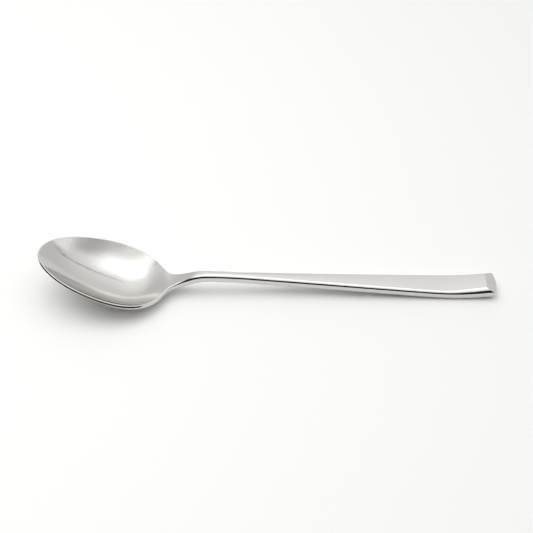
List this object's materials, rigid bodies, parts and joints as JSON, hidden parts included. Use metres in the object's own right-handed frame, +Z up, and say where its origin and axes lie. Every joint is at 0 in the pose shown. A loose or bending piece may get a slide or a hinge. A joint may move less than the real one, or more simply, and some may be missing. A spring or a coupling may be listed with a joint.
{
  "type": "long-handled teaspoon",
  "caption": "Slender one-piece steel teaspoon with an egg-shaped bowl, an arched neck and a long flat handle that widens to a bevelled, slightly upturned end.",
  "frame": {"origin": "on the table, under the middle of the spoon's length and width as it lies face up", "axes": "+X along the spoon from the bowl's tip to the handle's end, +Y across it, +Z up out of the bowl"},
  "size_m": [0.18, 0.0342, 0.0222],
  "materials": {
    "stainless_steel": "polished stainless steel, mirror-like in the bowl and a finer satin along the handle"
  },
  "bodies": {
    "root": {"spoon": "stainless_steel"}
  },
  "joints": []
}
